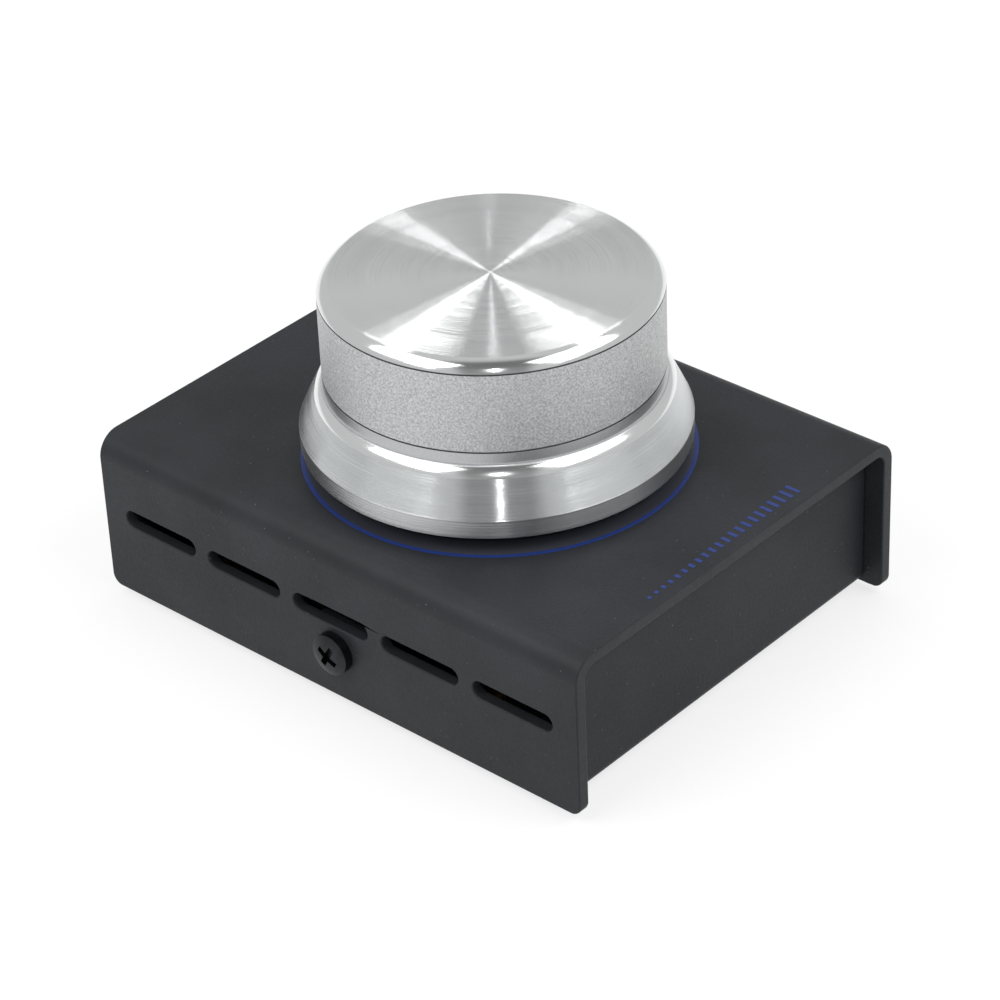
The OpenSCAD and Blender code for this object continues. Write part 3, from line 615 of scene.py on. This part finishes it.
# The skirt's flank leans by cone from upright, and the shoulder's arc runs on from it to
# where it meets the neck's. The edge is an arc across a 45 degree chamfer.
cone = math.degrees(math.atan2(rim_r - skirt_top_r, skirt_h - rim_h))
shoulder_mid_r = skirt_top_r - shoulder_r * math.cos(math.radians(cone))
shoulder_mid_z = skirt_h - shoulder_r * math.sin(math.radians(cone))
neck = math.degrees(math.acos((side_r + neck_r - shoulder_mid_r) / (shoulder_r + neck_r)))
neck_z = shoulder_mid_z + (shoulder_r + neck_r) * math.sin(math.radians(neck))
upper_line = face_z - edge_w - hairline / 2
half_turn = math.degrees(math.asin(edge_w / math.sqrt(2) / edge_r))
edge_in = edge_w / 2 + edge_r * math.cos(math.radians(half_turn)) / math.sqrt(2)

# The outline, by finish, as distances from the axis and heights over the rim's underside.
# It runs from the face's middle, down the side, round the rim and up the inside.
outline = {
    "faced": [(0, face_z - pip_deep), (pip_r - pip_deep, face_z - pip_deep),
              (pip_r, face_z), (side_r - edge_w, face_z)],
    "edge": arc(side_r - edge_in, face_z - edge_in, edge_r, 45 + half_turn, 45 - half_turn, 12),
    "upper_line": groove(upper_line),
    "blasted": [(side_r, upper_line - hairline / 2), (side_r, lower_line + hairline / 2)],
    "lower_line": groove(lower_line),
    "neck": [(side_r, lower_line - hairline / 2)]
            + arc(side_r + neck_r, neck_z, neck_r, 180, 180 + neck, 8),
    "shoulder": arc(shoulder_mid_r, shoulder_mid_z, shoulder_r, neck, cone, 16),
    "skirt": [(skirt_top_r, skirt_h), (rim_r - corner_w / 2, rim_h + corner_w)],
    "rim": [(rim_r - corner_w / 2, rim_h + corner_w), (rim_r, rim_h), (rim_r, corner_w),
            (rim_r - corner_w, 0)],
    "bore": [(rim_r - corner_w, 0), (mouth_r, 0), (mouth_r, mouth_h), (hollow_r, mouth_h),
             (hollow_r, face_z - face_t), (boss_r, face_z - face_t), (boss_r, boss_z),
             (bush_r, boss_z), (bush_r, bush_z), (0, bush_z)],
}

bm = bmesh.new()
for zone, points in enumerate(outline.values()):
    spun_before = len(bm.faces)
    row = [bm.verts.new(axis + Vector((r * MM, 0, knob_low.z + z * MM))) for r, z in points]
    steps_down = [bm.edges.new(pair) for pair in zip(row, row[1:])]
    bmesh.ops.spin(bm, geom=row + steps_down, cent=axis, axis=(0, 0, 1), angle=math.tau,
                   steps=turn_steps, use_merge=True)
    bm.faces.ensure_lookup_table()
    for face in bm.faces[spun_before:]:
        face.material_index = zone
bmesh.ops.remove_doubles(bm, verts=bm.verts, dist=weld)
for edge in bm.edges:
    edge.smooth = edge.calc_face_angle(0) < crease
knob_mesh = finished_mesh("turned_knob", bm)


def cut_rings(tree, where, pitch, outwards, inwards):
    """The normal of a surface cut in rings by a lathe tool, and the way across the rings.

    Their flanks swing from leaning inwards to leaning outwards by these angles in degrees."""
    off_axis = node(tree, "VectorMath", {"operation": "SUBTRACT"}, i0=where, i1=axis)
    flat = node(tree, "VectorMath", {"operation": "MULTIPLY"},
                i0=off_axis.outputs[0], i1=(1, 1, 0))
    radius = node(tree, "VectorMath", {"operation": "LENGTH"}, i0=flat.outputs[0])
    height = node(tree, "SeparateXYZ", Vector=off_axis.outputs[0])
    along = node(tree, "Math", {"operation": "SUBTRACT"},
                 i0=radius.outputs["Value"], i1=height.outputs["Z"])
    rings = node(tree, "Math", {"operation": "DIVIDE"}, i0=along.outputs[0], i1=pitch)
    ring = node(tree, "Math", {"operation": "FLOOR"}, i0=rings.outputs[0])
    chance = node(tree, "TexWhiteNoise", {"noise_dimensions": "1D"}, W=ring.outputs[0])
    lean = node(tree, "MapRange", Value=chance.outputs["Value"],
                To_Min=-math.radians(inwards), To_Max=math.radians(outwards))
    round_axis = node(tree, "VectorMath", {"operation": "CROSS_PRODUCT"},
                      i0=(0, 0, 1), i1=flat.outputs[0])
    turned = node(tree, "VectorTransform",
                  {"vector_type": "VECTOR", "convert_from": "OBJECT", "convert_to": "WORLD"},
                  Vector=round_axis.outputs[0])
    turned = node(tree, "VectorMath", {"operation": "NORMALIZE"}, i0=turned.outputs[0])
    plain = node(tree, "NewGeometry").outputs["Normal"]
    across = node(tree, "VectorMath", {"operation": "CROSS_PRODUCT"},
                  i0=turned.outputs[0], i1=plain)
    cosine = node(tree, "Math", {"operation": "COSINE"}, i0=lean.outputs[0])
    sine = node(tree, "Math", {"operation": "SINE"}, i0=lean.outputs[0])
    upright = node(tree, "VectorMath", {"operation": "SCALE"}, i0=plain, Scale=cosine.outputs[0])
    leaning = node(tree, "VectorMath", {"operation": "SCALE"},
                   i0=across.outputs[0], Scale=sine.outputs[0])
    normal = node(tree, "VectorMath", {"operation": "ADD"},
                  i0=upright.outputs[0], i1=leaning.outputs[0])
    return normal.outputs[0], across.outputs[0]


# Bare aluminium: a light, nearly neutral grey, a shade duller where it has stood in the air.
aluminium = srgb("#EDEFEF")
stain = 7 * MM
stain_tone, stain_gloss = 0.94, 0.05
dent_low, dent_high = 0.35, 0.65


def turned_aluminium(name, colour, pitch, outwards, inwards, roughness, stretch):
    """Aluminium as the lathe tool cut it, its gloss drawn out across the rings by stretch."""
    made, tree, output = blank_material(name)
    where = node(tree, "TexCoord").outputs["Object"]
    normal, tangent = cut_rings(tree, where, pitch, outwards, inwards)
    stains = node(tree, "TexNoise", Vector=where, Scale=1 / stain, Detail=3.0)
    tone = node(tree, "Mix", {"data_type": "RGBA"}, i0=stains.outputs["Fac"], i6=colour,
                i7=[part * stain_tone for part in colour])
    gloss = follow(tree, stains, roughness * (1 - stain_gloss), roughness * (1 + stain_gloss))
    close_material(tree, output, Base_Color=tone.outputs[2], Metallic=1.0,
                   Roughness=gloss, Anisotropic=stretch, Normal=normal, Tangent=tangent)
    return made


def blasted_aluminium(name, light, dark, bead_mark, depth, rough_low, rough_high):
    """Aluminium dulled by fine beads or grit: shallow round marks that speckle its grey."""
    made, tree, output = blank_material(name)
    where = node(tree, "TexCoord").outputs["Object"]
    marks = node(tree, "TexNoise", Vector=where, Scale=1 / bead_mark, Detail=2.0, Roughness=0.6)
    shade = node(tree, "MapRange", Value=marks.outputs["Fac"],
                 From_Min=dent_low, From_Max=dent_high)
    tone = node(tree, "Mix", {"data_type": "RGBA"}, i0=shade.outputs[0], i6=dark, i7=light)
    gloss = follow(tree, marks, rough_low, rough_high)
    bumps = node(tree, "Bump", Strength=0.5, Distance=depth, Height=marks.outputs["Fac"])
    close_material(tree, output, Base_Color=tone.outputs[2], Metallic=1.0,
                   Roughness=gloss, Normal=bumps.outputs["Normal"])
    return made


# The two fine grooves are a darker grey than the side: painted shade, for the shadow inside them.
painted_groove_shade = blasted_aluminium(
    "painted_groove_shade", srgb("#9A9B9D"), srgb("#7E8083"),
    bead_mark=0.15 * MM, depth=0.01 * MM, rough_low=0.45, rough_high=0.6)

finishes = {
    # Faced: deep fine rings whose flanks throw fans of light from the middle. They lie
    # closer than a real tool's feed, so that they blend as they do to the eye.
    "faced": turned_aluminium("faced_aluminium", aluminium, pitch=0.006 * MM,
                              outwards=48, inwards=26, roughness=0.20, stretch=1.0),
    # Polished: almost no rings, so it mirrors the lamps and the room in crisp bands.
    "edge": turned_aluminium("polished_edge", aluminium, pitch=0.03 * MM,
                             outwards=1.5, inwards=1.5, roughness=0.11, stretch=0.3),
    "upper_line": painted_groove_shade,
    # Bead blasted: a dull, lively speckle of small dents.
    "blasted": blasted_aluminium("bead_blasted_aluminium", srgb("#D6D8D8"), srgb("#AAACAD"),
                                 bead_mark=0.25 * MM, depth=0.06 * MM,
                                 rough_low=0.50, rough_high=0.60),
    "lower_line": painted_groove_shade,
    # Satin: rubbed with fine grit in the neck, soft and greyer than its neighbours.
    "neck": blasted_aluminium("satin_neck", srgb("#BEC0C1"), srgb("#B2B4B5"),
                              bead_mark=0.2 * MM, depth=0.01 * MM,
                              rough_low=0.30, rough_high=0.38),
    "shoulder": turned_aluminium("polished_shoulder", aluminium, pitch=0.03 * MM,
                                 outwards=1.5, inwards=1.5, roughness=0.14, stretch=0.3),
    # Finish turned: shallow rings that draw reflections out into upright bands. The skirt is
    # a darker grey than the knob's other aluminium: painted shade.
    "skirt": turned_aluminium("turned_skirt", srgb("#CFD2D3"), pitch=0.015 * MM,
                              outwards=6, inwards=6, roughness=0.18, stretch=1.0),
    # The rim's darker grey is painted shade too.
    "rim": turned_aluminium("turned_rim", srgb("#CCCDCF"), pitch=0.03 * MM,
                            outwards=6, inwards=6, roughness=0.24, stretch=1.0),
    # Bored: coarser rings inside, where nobody looks.
    "bore": turned_aluminium("bored_aluminium", aluminium, pitch=0.05 * MM,
                             outwards=10, inwards=10, roughness=0.34, stretch=0.5),
}
knob = new_object("turned_knob", knob_mesh, *(finishes[zone] for zone in outline))
evening = knob.modifiers.new("even_faces", "WEIGHTED_NORMAL")
evening.weight = large_faces_first
evening.keep_sharp = True
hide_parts("knob")
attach(knob, "knob")
